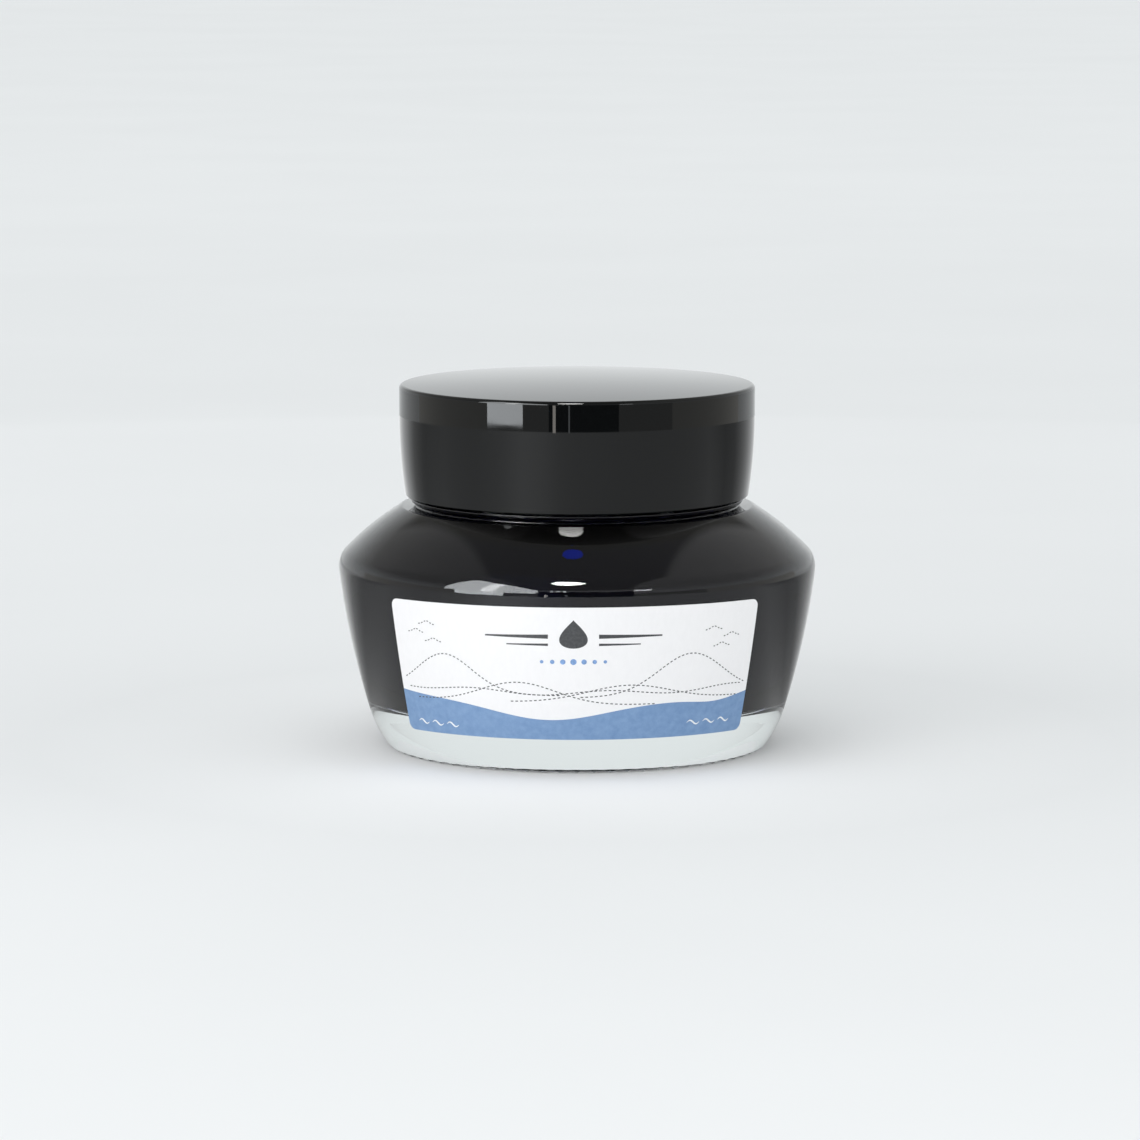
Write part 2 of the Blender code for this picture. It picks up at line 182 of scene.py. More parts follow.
OUTSIDE = wall_arcs(
    BELLY_R,
    BELLY_Z,
    BELLY_ARC,
    SHOULDER_ARC,
    ((FLANK_FROM, FLANK_ARC), (HEEL_FROM, HEEL_ARC)),
    FOOT_ARC,
    0.0,
)
CAVITY = wall_arcs(
    BELLY_R - WALL,
    CAVITY_BELLY_Z,
    CAVITY_BELLY_ARC,
    CAVITY_SHOULDER_ARC,
    ((FLANK_FROM, FLANK_ARC - WALL),),
    CAVITY_FOOT_ARC,
    FLOOR_Z,
)


def cavity_points(inset=0.0):
    """The inner wall from the middle of the floor up to where the bore begins. inset moves it in."""
    centre, radius, _ = CAVITY[0]
    reach = radius + BORE_FILLET
    end = math.degrees(math.acos((BORE_R + BORE_FILLET - centre[0]) / reach))
    wall = wall_points(CAVITY, end, inset)
    foot_r = wall[0][0]
    floor = []
    for i in range(25):
        r = foot_r * i / 24
        floor.append((r, FLOOR_Z + inset + FLOOR_CROWN * math.cos(math.pi / 2 * r / foot_r) ** 2))
    return joined(floor, wall, arc(shifted(centre, reach, end), BORE_FILLET + inset, 180 + end, 180, 12))


# ---------------------------------------------------------------- meshes


def mesh_object(name, vertices, faces):
    """A mesh in the scene, shaded smooth but for its sharp edges."""
    mesh = bpy.data.meshes.new(name)
    mesh.from_pydata([tuple(v) for v in vertices], [], faces)
    mesh.validate()
    mesh.shade_smooth()
    mesh.set_sharp_from_angle(angle=math.radians(SMOOTH_BELOW))
    obj = bpy.data.objects.new(name, mesh)
    bpy.context.scene.collection.objects.link(obj)
    return obj


def turned(name, profile, segments, shape=None):
    """A section turned round Z, whose points on the axis close to a pole. shape(ring, angles, r, z) may return
    changed radii and heights."""
    angles = np.arange(segments) * 2 * math.pi / segments
    rings, vertices = [], []
    for index, (r, z) in enumerate(profile):
        if r < 1e-7:
            rings.append([len(vertices)] * segments)
            vertices.append((0.0, 0.0, z))
            continue
        radii, heights = np.full(segments, r), np.full(segments, z)
        if shape:
            radii, heights = shape(index, angles, radii, heights)
        rings.append(list(range(len(vertices), len(vertices) + segments)))
        vertices.extend(zip(radii * np.cos(angles), radii * np.sin(angles), heights))
    faces = []
    for lower, upper in zip(rings, rings[1:]):
        for i in range(segments):
            j = (i + 1) % segments
            face = [lower[i], upper[i], upper[j], lower[j]]
            faces.append([v for k, v in enumerate(face) if v not in face[:k]])
    return mesh_object(name, vertices, faces)


def ridge_height(angles, z, top_z, half_root, half_crest, ink_and_painted_glow):
    """How far a right-hand thread stands out of its wall at each angle and height."""
    height = np.zeros_like(angles)
    for turn in range(3):
        travel = angles + turn * 2 * math.pi
        inside = travel <= TURNS * 2 * math.pi + 1e-9
        middle = top_z - PITCH * (TURNS - travel / (2 * math.pi))
        from_end = np.minimum(travel, TURNS * 2 * math.pi - travel)
        size = np.clip(from_end / math.radians(RUN_OUT), 0.0, 1.0)
        size = np.sin(size * math.pi / 2)
        off = np.abs(z - middle)
        slope = np.clip((half_root - off) / (half_root - half_crest), 0.0, 1.0)
        slope = slope * slope * (3 - 2 * slope) * 0.35 + slope * 0.65
        height = np.maximum(height, np.where(inside, ink_and_painted_glow * slope * size, 0.0))
    return height


def ledge_points():
    """The ring round the neck's foot: widest at its top, rounded below, with a crease at the shoulder."""
    top_edge = (LEDGE_R - LEDGE_EDGE, LEDGE_Z - LEDGE_EDGE)
    round_middle = shifted(top_edge, LEDGE_EDGE - LEDGE_ROUND, -LEDGE_LEAN)
    drop = round_middle[1] - LEDGE_FOOT_Z - LEDGE_FOOT_FILLET
    low = math.degrees(math.asin(drop / (LEDGE_ROUND + LEDGE_FOOT_FILLET)))
    crease = shifted(round_middle, LEDGE_ROUND + LEDGE_FOOT_FILLET, -low)
    return joined(
        arc(top_edge, LEDGE_EDGE, 90, -LEDGE_LEAN, 9),
        arc(round_middle, LEDGE_ROUND, -LEDGE_LEAN, -low, 12),
        arc(crease, LEDGE_FOOT_FILLET, 180 - low, 270, 5),
    )


def build_glass():
    """The bottle: inner wall, bore, rim, threaded neck, ring, shoulder, flank and dished, notched base."""
    roll_centre, shoulder_radius, _ = OUTSIDE[0]
    rise = LEDGE_FOOT_Z - ROLL_OVER - roll_centre[1]
    shoulder_end = math.degrees(math.asin(rise / (shoulder_radius - ROLL_OVER)))
    roll_middle = shifted(roll_centre, shoulder_radius - ROLL_OVER, shoulder_end)
    roll = arc(roll_middle, ROLL_OVER, 90, shoulder_end, 8)
    body = wall_points(OUTSIDE, shoulder_end)
    foot_r = body[0][0]
    neck_low = LEDGE_Z + NECK_FOOT_FILLET
    thread_rows = round((RIM_Z - RIM_EDGE - neck_low) / THREAD_ROW)
    inner_lip = BEARING_R - BEARING_LIP
    rise = PUSH_UP - DISH_CROWN
    dish = arc((inner_lip - rise, BEARING_LIP), rise - BEARING_LIP, 0, 90, 8)
    flat_r = dish[-1][0]
    for i in range(1, 25):
        share = i / 24
        dish.append((flat_r * (1 - share), rise + DISH_CROWN * math.sin(share * math.pi / 2) ** 2))
    profile = joined(
        cavity_points(),
        line((BORE_R, LEDGE_FOOT_Z), (BORE_R, RIM_Z - RIM_EDGE), 10),
        arc((BORE_R + RIM_EDGE, RIM_Z - RIM_EDGE), RIM_EDGE, 180, 90, 8),
        arc((NECK_R - RIM_EDGE, RIM_Z - RIM_EDGE), RIM_EDGE, 90, 0, 8),
        line((NECK_R, RIM_Z - RIM_EDGE), (NECK_R, neck_low), thread_rows),
        arc((NECK_R + NECK_FOOT_FILLET, neck_low), NECK_FOOT_FILLET, 180, 270, 6),
        ledge_points(),
        roll,
        reversed(body),
        line((foot_r, 0.0), (BEARING_R, 0.0), 5),
        arc((BEARING_R, BEARING_LIP), BEARING_LIP, 270, 180, 3),
        dish,
    )
    base_rows = {i for i, (r, z) in enumerate(profile) if z < NOTCH_REACH and r > BEARING_R - 0.2 * MM}

    def shape(index, angles, radii, heights):
        """The thread on the neck and the notches of the ring that the bottle stands on."""
        r, z = profile[index]
        if abs(r - NECK_R) < 1e-7 and neck_low <= z <= RIM_Z - RIM_EDGE:
            return radii + ridge_height(angles, z, THREAD_TOP_Z, 1.2 * MM, 0.5 * MM, THREAD_DEPTH), heights
        if index in base_rows:
            phase = (angles * NOTCHES / (2 * math.pi)) % 1.0
            groove = np.clip(2.6 - np.abs(phase - 0.5) * 6.5, 0.0, 1.0)
            return radii, heights + NOTCH_DEPTH * groove * (1 - z / NOTCH_REACH)
        return radii, heights

    glass = turned("bottle_glass", profile, FINE, shape)
    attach(glass, "bottle")
    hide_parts("glass_bottle")
    return glass


def cup_points(grow=0.0):
    """The reservoir's outside, from the middle of its bottom up to the plug. grow moves it out."""
    low = RESERVOIR_LOW.z
    corner = (CUP_R - CUP_CORNER, low + CUP_CORNER)
    return joined(
        [(0.0, low - grow)],
        arc(corner, CUP_CORNER + grow, -90, 0, 12),
        line((CUP_R + grow, corner[1]), (CUP_TOP_R + grow, CUP_TOP_Z), 16),
        line((CUP_TOP_R + grow, CUP_TOP_Z), (PLUG_R + grow, PLUG_Z - grow), 12),
    )


def well_points(top_z, inset=0.0):
    """The inside of the reservoir's cup, from the middle of its bottom up to top_z. inset moves it in."""
    wall = RESERVOIR_WALL + inset
    corner = (CUP_R - CUP_CORNER, RESERVOIR_LOW.z + CUP_CORNER)
    lean = (CUP_TOP_R - CUP_R) / (CUP_TOP_Z - corner[1])
    top_r = CUP_R - wall + lean * (top_z - corner[1])
    return joined(
        [(0.0, RESERVOIR_LOW.z + wall)],
        arc(corner, CUP_CORNER - wall, -90, 0, 12),
        line((CUP_R - wall, corner[1]), (top_r, top_z), 16),
    )


def build_ink():
    """The ink fills the cavity and the neck's bore round the reservoir, and climbs a little at its edges."""
    wall = [p for p in cavity_points(-INK_OVERLAP) if p[1] < INK_Z]
    out_r, in_r = wall[-1][0], CUP_TOP_R + 0.55 * MM
    top = [(in_r + off, INK_Z + climb) for off, climb in MENISCUS]
    top += line((in_r + MENISCUS_R, INK_Z), (out_r - MENISCUS_R, INK_Z), 6)
    top += [(out_r - off, INK_Z + climb) for off, climb in reversed(MENISCUS)]
    room = [p for p in cup_points(CUP_GAP) if p[1] < INK_Z]
    ink = turned("ink", joined(room, top, reversed(wall)), PLAIN)
    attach(ink, "bottle")
    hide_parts("ink_fill")
    well = well_points(WELL_INK_Z, -INK_OVERLAP)
    edge_r = well[-1][0]
    surface = [(0.0, WELL_INK_Z), (edge_r - MENISCUS_R, WELL_INK_Z)]
    surface += [(edge_r - 0.4 * MM, WELL_INK_Z + 0.1 * MM), (edge_r, WELL_INK_Z + 0.35 * MM)]
    pool = turned("ink_in_reservoir", joined(surface, reversed(well)), PLAIN)
    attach(pool, "bottle")
    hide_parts("reservoir_ink")
    return ink, pool


def rounded_box(name, size, edge, place, turn):
    """A box with rounded edges, put at a place and then turned about the bottle's axis."""
    work = bmesh.new()
    bmesh.ops.create_cube(work, size=1.0)
    bmesh.ops.scale(work, vec=size, verts=work.verts)
    bmesh.ops.bevel(work, geom=work.edges[:], offset=edge, segments=4, profile=0.5, affect="EDGES")
    mesh = bpy.data.meshes.new(name)
    work.to_mesh(mesh)
    work.free()
    obj = bpy.data.objects.new(name, mesh)
    bpy.context.scene.collection.objects.link(obj)
    obj.rotation_euler.z = turn
    x, y, z = place
    obj.location = (x * math.cos(turn) - y * math.sin(turn), x * math.sin(turn) + y * math.cos(turn), z)
    return obj


def build_reservoir():
    """A thin cup with a funnel, whose four windows let ink in when the closed bottle is tipped."""
    low, top, flange_r = RIM_Z + 0.3 * MM, RESERVOIR_HIGH.z, RESERVOIR_HIGH.x
    in_r = PLUG_R - RESERVOIR_WALL
    edge = 0.2 * MM
    funnel_low, funnel_high = CUP_TOP_Z + FUNNEL_RISE, PLUG_Z + FUNNEL_RISE
    profile = joined(
        well_points(funnel_low),
        line((CUP_TOP_R - RESERVOIR_WALL, funnel_low), (in_r, funnel_high), 12),
        line((in_r, funnel_high), (in_r, top - edge), 8),
        arc((in_r + edge, top - edge), edge, 180, 90, 4),
        arc((flange_r - edge, top - edge), edge, 90, 0, 4),
        arc((flange_r - edge, low + edge), edge, 0, -90, 4),
        [(PLUG_R, low)],
        line((PLUG_R, low), (PLUG_R, PLUG_Z), 8),
        reversed(cup_points()),
    )
    cup = turned("reservoir_cup", profile, PLAIN)
    for i in range(WINDOWS):
        turn = math.radians(45 + 360 / WINDOWS * i)
        cutter = rounded_box(f"window_cutter_{i}", WINDOW_SIZE, WINDOW_EDGE, WINDOW_PLACE, turn)
        cut = cup.modifiers.new("window", "BOOLEAN")
        cut.operation, cut.object, cut.solver = "DIFFERENCE", cutter, "EXACT"
    bpy.context.view_layer.update()
    applied = bpy.data.meshes.new_from_object(cup.evaluated_get(bpy.context.evaluated_depsgraph_get()))
    cup.modifiers.clear()
    cup.data = applied
    applied.name = cup.name
    for obj in [o for o in bpy.data.objects if o.name.startswith("window_cutter_")]:
        bpy.data.objects.remove(obj)
    applied.shade_smooth()
    applied.set_sharp_from_angle(angle=math.radians(SMOOTH_BELOW))
    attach(cup, "bottle")
    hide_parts("ink_reservoir")
    return cup


def build_liner():
    """A foam disc, pressed a little where the rim has bitten into it."""
    low, top, r = LINER_LOW.z, LINER_HIGH.z, LINER_HIGH.x
    edge = 0.25 * MM
    under = []
    for i in range(60):
        at = (r - edge) * i / 59
        dent = 0.18 * MM * math.exp(-(((at - 19.0 * MM) / (1.3 * MM)) ** 4))
        under.append((at, low + dent))
    profile = joined(
        [(0.0, top)],
        line((0.0, top), (r - edge, top), 12)[1:],
        arc((r - edge, top - edge), edge, 90, 0, 5),
        arc((r - edge, low + edge), edge, 0, -90, 5),
        reversed(under),
    )
    liner = turned("foam_liner", profile, PLAIN)
    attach(liner, "liner")
    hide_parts("seal_liner")
    return liner


def build_shell():
    """The cap's polished outer shell: crowned top, straight side that leans in towards its lower edge."""
    crown_radius = (SHELL_R**2 + CROWN**2) / (2 * CROWN)
    crown_end = math.degrees(math.asin((SHELL_R - SHELL_TOP_EDGE) / crown_radius))
    crown_centre = (0.0, SHELL_TOP_Z + CROWN - crown_radius)
    low_z = SHELL_LOW.z
    top_edge = (SHELL_R - SHELL_TOP_EDGE, SHELL_TOP_Z - SHELL_TOP_EDGE)
    low_edge = (SHELL_LOW_R - SHELL_LOW_EDGE, low_z + SHELL_LOW_EDGE)
    lean_height = SHELL_STRAIGHT_Z - low_edge[1]
    lean_radius = lean_height**2 / (2 * (SHELL_R - SHELL_LOW_R))
    lean_end = math.degrees(lean_height / lean_radius)
    roof_z = INNER_HIGH.z + 0.3 * MM
    profile = joined(
        arc(crown_centre, crown_radius, 90, 90 - crown_end, 40),
        arc(top_edge, SHELL_TOP_EDGE, 90 - crown_end, 0, 10),
        line((SHELL_R, top_edge[1]), (SHELL_R, SHELL_STRAIGHT_Z), 8),
        arc((SHELL_R - lean_radius, SHELL_STRAIGHT_Z), lean_radius, 0, -lean_end, 16),
        arc(low_edge, SHELL_LOW_EDGE, -lean_end, -90, 14),
        arc((SHELL_IN_R + 0.25 * MM, low_z + 0.25 * MM), 0.25 * MM, 270, 180, 4),
        line((SHELL_IN_R, low_z + 0.25 * MM), (SHELL_IN_R, roof_z - 0.4 * MM), 8),
        arc((SHELL_IN_R - 0.4 * MM, roof_z - 0.4 * MM), 0.4 * MM, 0, 90, 4),
        line((SHELL_IN_R - 0.4 * MM, roof_z), (0.0, roof_z), 8),
    )
    shell = turned("cap_outer", profile, FINE)
    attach(shell, "cap")
    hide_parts("cap_shell")
    return shell


def build_inner():
    """The threaded closure: ribs outside, thread inside, a bead that keeps the liner in."""
    low, top = INNER_LOW.z, INNER_HIGH.z
    plate_z = LINER_HIGH.z + 0.3 * MM
    bead_z = LINER_LOW.z - 0.5 * MM
    edge = 0.35 * MM
    in_low, in_high = low + edge, bead_z - edge
    rows = round((in_high - in_low) / THREAD_ROW)
    rib_low, rib_high = low + 1.0 * MM, plate_z
    profile = joined(
        [(0.0, top)],
        line((0.0, top), (SKIRT_R - edge, top), 12)[1:],
        arc((SKIRT_R - edge, top - edge), edge, 90, 0, 5),
        line((SKIRT_R, top - edge), (SKIRT_R, low + 0.2 * MM), 60),
        arc((SKIRT_R - 0.2 * MM, low + 0.2 * MM), 0.2 * MM, 0, -90, 4),
        arc((SKIRT_IN_R + edge, low + edge), edge, 270, 180, 5),
        line((SKIRT_IN_R, in_low), (SKIRT_IN_R, in_high), rows),
        line((SKIRT_IN_R, in_high), (BEAD_R, bead_z), 4),
        line((BEAD_R, bead_z), (SKIRT_IN_R, bead_z + edge), 4),
        [(SKIRT_IN_R, plate_z)],
        line((SKIRT_IN_R, plate_z), (0.0, plate_z), 12),
    )

    def shape(index, angles, radii, heights):
        """The thread on the skirt's inside and the ribs on its outside."""
        r, z = profile[index]
        if abs(r - SKIRT_IN_R) < 1e-7 and in_low <= z <= in_high:
            ridge = ridge_height(angles, z, THREAD_TOP_Z - THREAD_DROP, 0.9 * MM, 0.4 * MM, THREAD_DEPTH)
            return radii - ridge, heights
        if abs(r - SKIRT_R) < 1e-7 and rib_low <= z <= rib_high:
            step = 2 * math.pi / RIBS
            off = np.abs((angles + step / 2) % step - step / 2) * SKIRT_R
            end = min(1.0, (z - rib_low) / RIB_SIDE, (rib_high - z) / RIB_SIDE)
            return radii + (RIB_R - SKIRT_R) * np.clip((RIB_HALF - off) / RIB_SIDE, 0.0, 1.0) * end, heights
        return radii, heights

    inner = turned("cap_closure", profile, FINE, shape)
    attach(inner, "cap")
    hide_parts("cap_inner")
    return inner


# ---------------------------------------------------------------- label

FLANK_CENTRE, FLANK_RADIUS, _ = OUTSIDE[2]
PAPER_T = 0.09 * MM
PAPER_GAP = 0.02 * MM
LABEL_LOW_HALF, LABEL_TOP_HALF = 26.9 * MM, 29.6 * MM
LABEL_CORNER = 1.1 * MM
LABEL_SAG, LABEL_ASIDE = 0.32 * MM, 0.5 * MM  # its ends hang a little, and it sits a little to the left
LABEL_LOW_ANGLE = math.asin((FLANK_CENTRE[1] - LABEL_LOW.z) / FLANK_RADIUS)
LABEL_TOP_ANGLE = math.asin((FLANK_CENTRE[1] - LABEL_HIGH.z) / FLANK_RADIUS)
LABEL_H = (LABEL_LOW_ANGLE - LABEL_TOP_ANGLE) * FLANK_RADIUS
PRINT_LIFT = PAPER_GAP + PAPER_T + 0.006 * MM


def on_flank(x, y, lift):
    """The point in space for a place on the label, x right of its middle and y up from its lower edge."""
    x = x - LABEL_ASIDE
    angle = LABEL_LOW_ANGLE - y / FLANK_RADIUS
    r = FLANK_CENTRE[0] + (FLANK_RADIUS + lift) * math.cos(angle)
    z = FLANK_CENTRE[1] - (FLANK_RADIUS + lift) * math.sin(angle)
    turn = x / r
    z -= LABEL_SAG * (x / LABEL_TOP_HALF) ** 2
    return (r * math.sin(turn), -r * math.cos(turn), z)


def half_width(y):
    """Half the label's width at a height above its lower edge."""
    return LABEL_LOW_HALF + (LABEL_TOP_HALF - LABEL_LOW_HALF) * y / LABEL_H


def wave(u):
    """Height of the blue band above the label's lower edge, for u from -1 at the left to 1 at the right."""
    trough = 2.5 * math.exp(-(((u + 0.12) / 0.38) ** 2))
    dip = 0.7 * math.exp(-(((u - 0.78) / 0.18) ** 2))
    return (5.6 - trough - dip + 0.8 * u**4) * MM


def label_columns():
    """Columns of the label's mesh, from -1 at its left end to 1, close together in the round corners."""
    corner = [LABEL_CORNER * (1 - math.cos(math.radians(a))) for a in range(0, 91, 10)]
    left = [-1 + e / LABEL_LOW_HALF for e in corner]
    inner = list(np.linspace(left[-1], -left[-1], 150)[1:-1])
    return left + inner + [-u for u in reversed(left)]


def build_label():
    """Paper with a blue band printed along its lower edge. Rows of faces follow the band's wavy top."""
    columns = label_columns()
    band_rows, paper_rows = 10, 26
    grid = []
    for u in columns:
        from_end = (1 - abs(u)) * LABEL_LOW_HALF
        inset = 0.0
        if from_end < LABEL_CORNER:
            inset = LABEL_CORNER - math.sqrt(LABEL_CORNER**2 - (LABEL_CORNER - from_end) ** 2)
        low, high, edge = inset, LABEL_H - inset, wave(u)
        heights = [low + (edge - low) * j / band_rows for j in range(band_rows)]
        heights += [edge + (high - edge) * j / paper_rows for j in range(paper_rows + 1)]
        grid.append([(u * half_width(y), y) for y in heights])
    rows = len(grid[0])
    vertices = [on_flank(x, y, PAPER_GAP + PAPER_T) for column in grid for x, y in column]
    vertices += [on_flank(x, y, PAPER_GAP) for column in grid for x, y in column]
    count = len(columns) * rows
    faces, band = [], []
    for i in range(len(columns) - 1):
        for j in range(rows - 1):
            a, b = i * rows + j, (i + 1) * rows + j
            faces.append((a, b, b + 1, a + 1))
            band.append(j < band_rows)
            faces.append((a + count, a + 1 + count, b + 1 + count, b + count))
            band.append(False)
    border = [i * rows for i in range(len(columns))]
    border += [(len(columns) - 1) * rows + j for j in range(1, rows)]
    border += [i * rows + rows - 1 for i in range(len(columns) - 2, -1, -1)]
    border += list(range(rows - 2, 0, -1))
    for a, b in zip(border, border[1:] + border[:1]):
        faces.append((a, a + count, b + count, b))
        band.append(False)
    label = mesh_object("label", vertices, faces)
    label.data.materials.append(paper())
    label.data.materials.append(band_print())
    for polygon, blue in zip(label.data.polygons, band):
        polygon.material_index = 1 if blue else 0
    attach(label, "bottle")
    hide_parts("front_label")
    return label


def stroke(points, width):
    """A flat ribbon along points on the label, as quads. width may be a number or one number a point."""
    widths = width if isinstance(width, (list, tuple)) else [width] * len(points)
    left, right = [], []
    for i, (x, y) in enumerate(points):
        ax, ay = points[max(i - 1, 0)]
        bx, by = points[min(i + 1, len(points) - 1)]
        length = math.dist((ax, ay), (bx, by))
        nx, ny = (ay - by) / length, (bx - ax) / length
        half = widths[i] / 2
        left.append((x + nx * half, y + ny * half))
        right.append((x - nx * half, y - ny * half))
    return [[right[i], right[i + 1], left[i + 1], left[i]] for i in range(len(points) - 1)]


def dashes(curve, start, end, dash=0.38 * MM, gap=0.30 * MM, width=0.15 * MM):
    """Short dashes along y = curve(x), from x = start to x = end."""
    found, x = [], start
    while x < end:
        slope = (curve(x + 1e-5) - curve(x - 1e-5)) / 2e-5
        stretch = 1 / math.hypot(1, slope)
        points = [(x + dash * stretch * t, curve(x + dash * stretch * t)) for t in (0, 0.5, 1)]
        found += stroke(points, width)
        x += (dash + gap) * stretch
    return found


def hill(middle, spread, height, foot):
    """A curve with one smooth hill, as y for each x."""
    return lambda x: foot + height * math.exp(-(((x - middle) / spread) ** 2))


def drop(middle, low, size, rows=36, columns=10):
    """A filled ink drop, round below and pointed above, as quads that follow the label's curve."""
    grid = []
    for i in range(rows + 1):
        t = math.pi * i / rows
        half = size * 0.66 * math.sin(t) * math.sin(t / 2) ** 1.3
        y = low + size * (1 + math.cos(t)) / 2
        grid.append([(middle + half * (2 * k / columns - 1), y) for k in range(columns + 1)])
    found = []
    for upper, lower in zip(grid, grid[1:]):
        for k in range(columns):
            found.append([lower[k], lower[k + 1], upper[k + 1], upper[k]])
    return found


def print_object(name, polygons, finish):
    """Printed shapes, each a flat polygon on the label, as one thin mesh."""
    vertices, faces = [], []
    for polygon in polygons:
        first = len(vertices)
        vertices += [on_flank(x, y, PRINT_LIFT) for x, y in polygon]
        faces.append(list(range(first, first + len(polygon))))
    obj = mesh_object(name, vertices, faces)
    obj.data.materials.append(finish)
    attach(obj, "bottle")
    return obj


def build_print():
    """The label's own plain artwork: a drop between two rules, a row of dots, dotted hills and ripples."""
    emblem_y = LABEL_H - 6.0 * MM
    dark = drop(0.0, emblem_y, 4.2 * MM)
    for side in (-1, 1):
        xs = np.linspace(3.6, 12.8, 24) * MM * side
        rule = [(x, emblem_y + 1.75 * MM) for x in xs]
        dark += stroke(rule, [(0.62 - 0.4 * i / 23) * MM for i in range(24)])
        rule = [(x, emblem_y + 0.55 * MM) for x in xs[:16]]
        dark += stroke(rule, [(0.36 - 0.2 * i / 15) * MM for i in range(16)])
    hills = (
        (hill(-19.5 * MM, 6.6 * MM, 5.6 * MM, 6.9 * MM), -27.0 * MM, -2.0 * MM),
        (hill(-8.0 * MM, 8.0 * MM, 3.4 * MM, 5.4 * MM), -24.5 * MM, 12.0 * MM),
        (hill(17.5 * MM, 7.4 * MM, 6.2 * MM, 6.6 * MM), 1.0 * MM, 27.2 * MM),
        (hill(8.0 * MM, 9.0 * MM, 2.6 * MM, 5.8 * MM), -9.0 * MM, 25.8 * MM),
        (lambda x: (7.3 + 0.35 * math.sin(x / (3.1 * MM))) * MM, -26.2 * MM, 26.4 * MM),
    )
    for curve, start, end in hills:
        dark += dashes(curve, start, end)
    ripples = ((-24.6, 15.4), (-21.4, 14.2), (-22.6, 16.7), (21.2, 16.1), (24.4, 15.0), (22.6, 13.6))
    for middle, height in ripples:
        ripple = hill(middle * MM, 0.8 * MM, 0.5 * MM, height * MM)
        dark += dashes(ripple, (middle - 1.5) * MM, (middle + 1.5) * MM, 0.3 * MM, 0.25 * MM, 0.14 * MM)
    blue = []
    for i in range(-3, 4):
        middle, radius = (i * 1.5 * MM, emblem_y - 2.0 * MM), (0.45 - 0.065 * abs(i)) * MM
        turns = np.linspace(0, 360, 20, endpoint=False)
        blue.append([shifted(middle, radius, turn) for turn in turns])
    white = []
    for middle, height in ((-21.0, 1.6), (20.6, 2.1)):
        for i in (-1, 0, 1):
            start = (middle + i * 2.7 - 1.05) * MM
            points = []
            for t in np.linspace(0, 1, 15):
                points.append((start + 2.1 * MM * t, (height + 0.32 * math.sin(2 * math.pi * t)) * MM))
            white += stroke(points, [(0.06 + 0.2 * math.sin(math.pi * k / 14)) * MM for k in range(15)])
    return (
        print_object("label_print_dark", dark, printing("dark_print", (0.042, 0.044, 0.048))),
        print_object("label_print_blue", blue, printing("blue_print", (0.17, 0.30, 0.56))),
        print_object("label_print_white", white, printing("white_print", (0.80, 0.83, 0.87))),
    )


# ---------------------------------------------------------------- materials


class Tree:
    """The node tree of a material or a world, with short calls for making and joining nodes."""

    def __init__(self, owner):
        self.owner = owner
        owner.use_nodes = True
        self.tree = owner.node_tree

    def add(self, kind, **settings):
        node = self.tree.nodes.new("ShaderNode" + kind)
        for name, value in settings.items():
            setattr(node, name, value)
        return node

    def put(self, value, socket):
        """Give an input its value: another node's output, a colour or a number."""
        if isinstance(value, bpy.types.NodeSocket):
            self.tree.links.new(value, socket)
        else:
            socket.default_value = (*value, 1.0) if socket.type == "RGBA" else value

    def fed(self, kind, *values, **settings):
        """A node with its first inputs given, and its first output."""
        node = self.add(kind, **settings)
        for value, socket in zip(values, node.inputs):
            self.put(value, socket)
        return node.outputs[0]

    def split(self, vector):
        return self.fed("SeparateXYZ", vector).node.outputs

    def ramp(self, source, low, high, from_low=0.35, from_high=0.65):
        """A number that runs from low to high as source runs from from_low to from_high."""
        return self.fed("MapRange", source, from_low, from_high, low, high)

    def mix(self, share, low, high):
        """A colour, from low where share is 0 to high where it is 1."""
        node = self.add("Mix", data_type="RGBA")
        for value, index in ((share, 0), (low, 6), (high, 7)):
            self.put(value, node.inputs[index])
        return node.outputs[2]

    def colours(self, source, low, high, from_low=0.35, from_high=0.65):
        """A colour that runs from low to high as source runs from from_low to from_high."""
        return self.mix(self.ramp(source, 0.0, 1.0, from_low, from_high), low, high)


class Finish(Tree):
    """A piece's material, one Principled shader with procedural inputs."""

    def __init__(self, name):
        super().__init__(bpy.data.materials.new(name))
        self.shader = self.tree.nodes["Principled BSDF"]

    def set(self, **values):
        """Give the shader's inputs their values, with _ for each space in a name."""
        for name, value in values.items():
            self.put(value, self.shader.inputs[name.replace("_", " ")])

    def place(self):
        return self.add("TexCoord").outputs["Object"]

    def noise(self, scale, detail=3.0, roughness=0.5, place=None):
        node = self.add("TexNoise")
        inputs = {"Vector": place or self.place(), "Scale": scale, "Detail": detail, "Roughness": roughness}
        for name, value in inputs.items():
            self.put(value, node.inputs[name])
        return node.outputs["Fac"]

    def bump(self, source, distance, strength=1.0):
        node = self.add("Bump")
        for name, value in (("Strength", strength), ("Distance", distance), ("Height", source)):
            self.put(value, node.inputs[name])
        self.set(Normal=node.outputs["Normal"])


